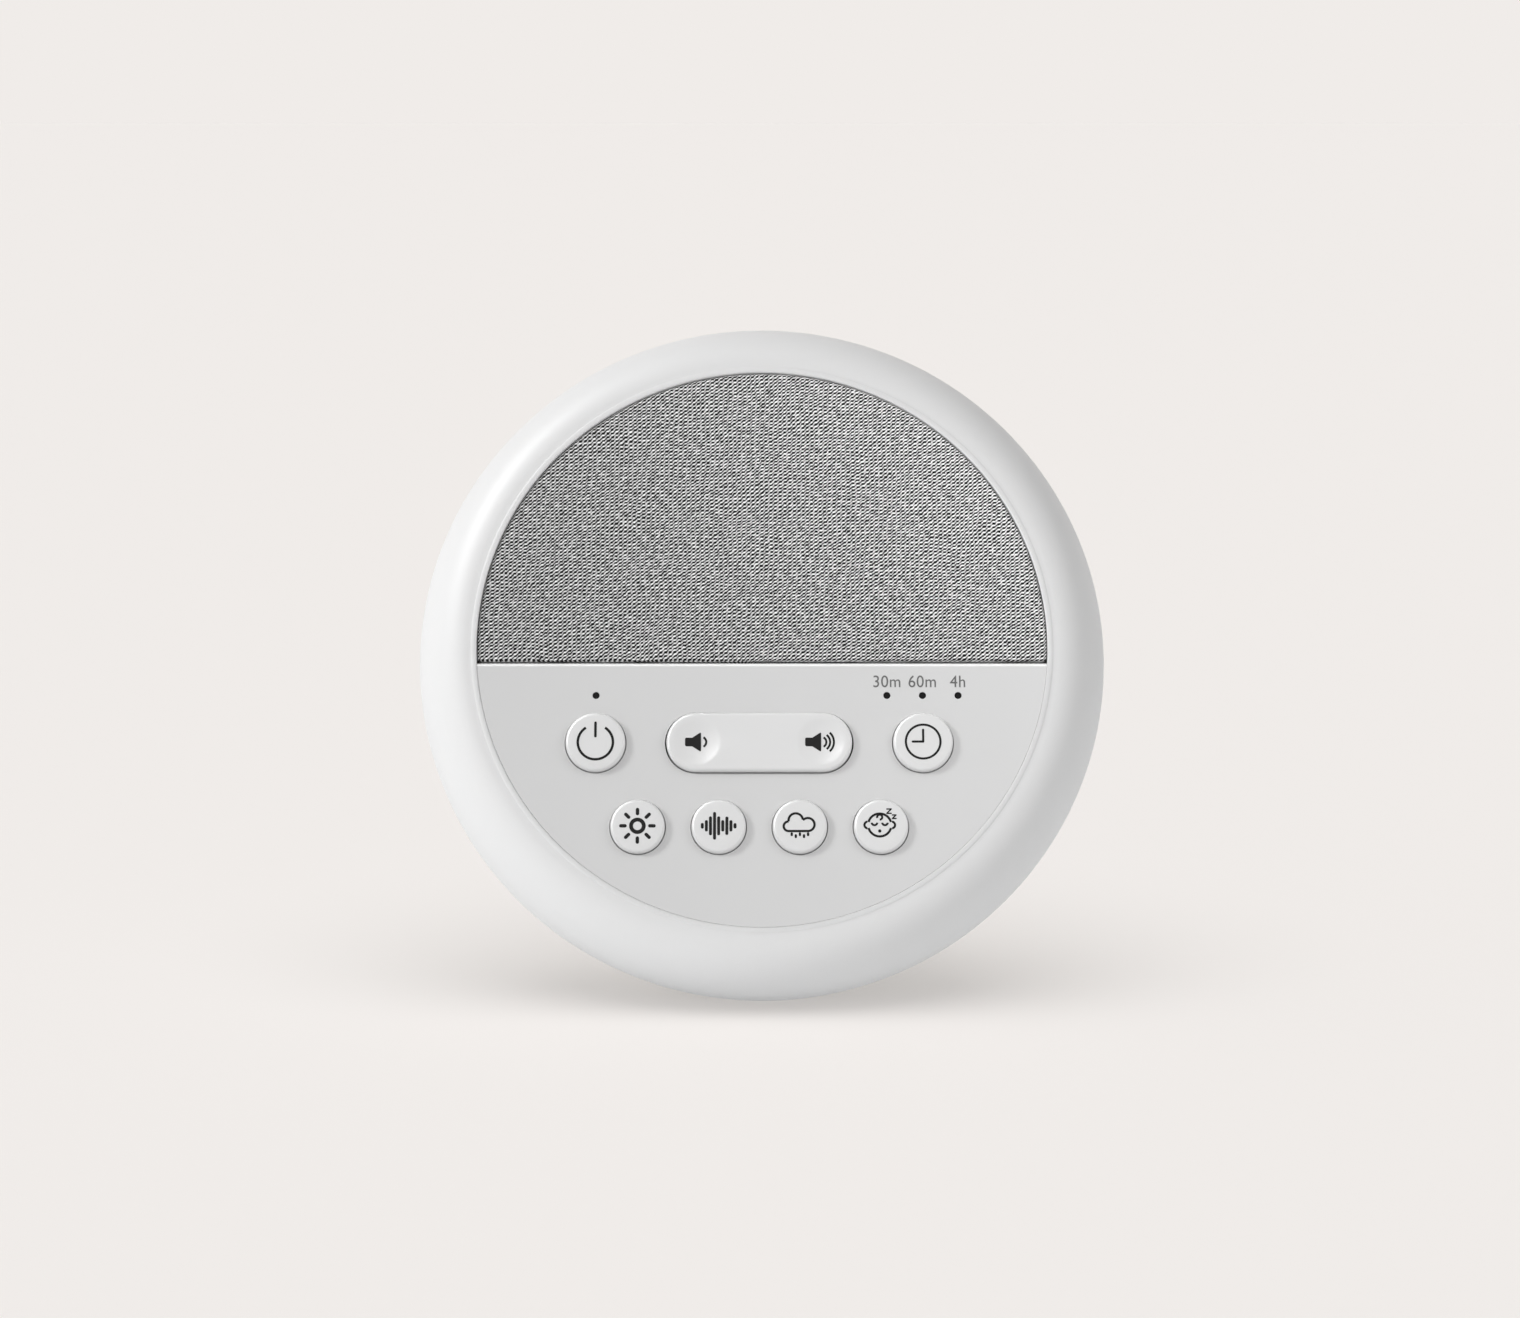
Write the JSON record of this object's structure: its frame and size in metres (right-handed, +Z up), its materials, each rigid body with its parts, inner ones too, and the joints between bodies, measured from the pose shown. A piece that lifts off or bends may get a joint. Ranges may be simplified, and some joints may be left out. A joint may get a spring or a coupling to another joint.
{
  "type": "white noise machine",
  "caption": "Round white bedside sound machine that leans back on a wedge foot, with a knit-covered speaker above a panel of push buttons and a rocker, inside a milky light ring.",
  "frame": {"origin": "on the floor, at the middle of the machine's width and depth", "axes": "+Z up, +X to the viewer's right, -Y towards the viewer; the face looks along -Y and leans back by 21 degrees"},
  "size_m": [0.127, 0.07, 0.1213],
  "materials": {
    "white_housing": "fine satin moulded ABS",
    "milky_ring": "translucent milky polycarbonate, satin",
    "frame_plastic": "plain moulded ABS",
    "panel_white": "satin moulded ABS",
    "grille_plastic": "plain dark moulded ABS",
    "speaker_cloth": "light grey knitted polyester",
    "foam": "closed-cell foam",
    "basket_steel": "black coated pressed steel",
    "magnet_steel": "zinc plated steel over ferrite",
    "surround_rubber": "thin rubber roll",
    "spider_cloth": "resin-dipped cloth",
    "screw_steel": "zinc plated",
    "switch_black": "plain moulded plastic",
    "switch_body": "steel cover over a plastic body",
    "board_green": "solder-masked glass epoxy",
    "led_yellow": "clear epoxy",
    "lens_black": "smoked acrylic",
    "board_white": "white solder-masked glass epoxy",
    "jack_black": "moulded nylon",
    "foot_rubber": "soft rubber",
    "cone_paper": "pressed paper and polypropylene",
    "coil_copper": "enamelled copper wire",
    "button_white": "satin moulded ABS, printed signs"
  },
  "bodies": {
    "machine": {"rear_housing": "white_housing", "night_light_ring": "milky_ring", "front_frame": "frame_plastic", "control_panel": "panel_white", "grille_frame": "grille_plastic", "speaker_cloth": "speaker_cloth", "speaker_gasket": "foam", "speaker_basket": "basket_steel", "speaker_magnet": "magnet_steel", "cone_surround": "surround_rubber", "cone_spider": "spider_cloth", "speaker_screws": "screw_steel", "rocker_pin": "screw_steel", "rocker_plungers": "switch_black", "tact_switches": "switch_body", "button_board": "board_green", "button_board_screws": "screw_steel", "indicator_leds": "led_yellow", "indicator_lenses": "lens_black", "night_light_board": "board_white", "night_light_leds": "led_yellow", "main_board": "board_green", "main_board_parts": "switch_black", "main_board_screws": "screw_steel", "dc_jack": "jack_black", "housing_screws": "screw_steel", "rubber_feet": "foot_rubber"},
    "speaker_cone": {"speaker_cone": "cone_paper", "voice_coil": "coil_copper"},
    "volume_rocker": {"volume_rocker": "button_white"},
    "power_button": {"power_button": "button_white", "power_plunger": "switch_black"},
    "timer_button": {"timer_button": "button_white", "timer_plunger": "switch_black"},
    "light_button": {"light_button": "button_white", "light_plunger": "switch_black"},
    "noise_button": {"noise_button": "button_white", "noise_plunger": "switch_black"},
    "rain_button": {"rain_button": "button_white", "rain_plunger": "switch_black"},
    "lullaby_button": {"lullaby_button": "button_white", "lullaby_plunger": "switch_black"}
  },
  "joints": [
    {"name": "power_press", "type": "slide", "parent": "machine", "child": "power_button", "axis": [0, 0.9336, -0.3584], "range_m": [0, 0.0005], "stiffness_N_per_m": 1500, "springref_m": -0.0006},
    {"name": "timer_press", "type": "slide", "parent": "machine", "child": "timer_button", "axis": [0, 0.9336, -0.3584], "range_m": [0, 0.0005], "stiffness_N_per_m": 1500, "springref_m": -0.0006},
    {"name": "light_press", "type": "slide", "parent": "machine", "child": "light_button", "axis": [0, 0.9336, -0.3584], "range_m": [0, 0.0005], "stiffness_N_per_m": 1500, "springref_m": -0.0006},
    {"name": "noise_press", "type": "slide", "parent": "machine", "child": "noise_button", "axis": [0, 0.9336, -0.3584], "range_m": [0, 0.0005], "stiffness_N_per_m": 1500, "springref_m": -0.0006},
    {"name": "rain_press", "type": "slide", "parent": "machine", "child": "rain_button", "axis": [0, 0.9336, -0.3584], "range_m": [0, 0.0005], "stiffness_N_per_m": 1500, "springref_m": -0.0006},
    {"name": "lullaby_press", "type": "slide", "parent": "machine", "child": "lullaby_button", "axis": [0, 0.9336, -0.3584], "range_m": [0, 0.0005], "stiffness_N_per_m": 1500, "springref_m": -0.0006},
    {"name": "rocker_tip", "type": "hinge", "parent": "machine", "child": "volume_rocker", "pos_m": [-0.0005, -0.01702, 0.04655], "axis": [0, 0.3584, 0.9336], "range_deg": [-2, 2], "stiffness_Nm_per_rad": 0.3},
    {"name": "cone_move", "type": "slide", "parent": "machine", "child": "speaker_cone", "axis": [0, -0.9336, 0.3584], "range_m": [-0.001, 0.001], "stiffness_N_per_m": 1500, "deforming": ["cone_surround", "cone_spider"]}
  ]
}
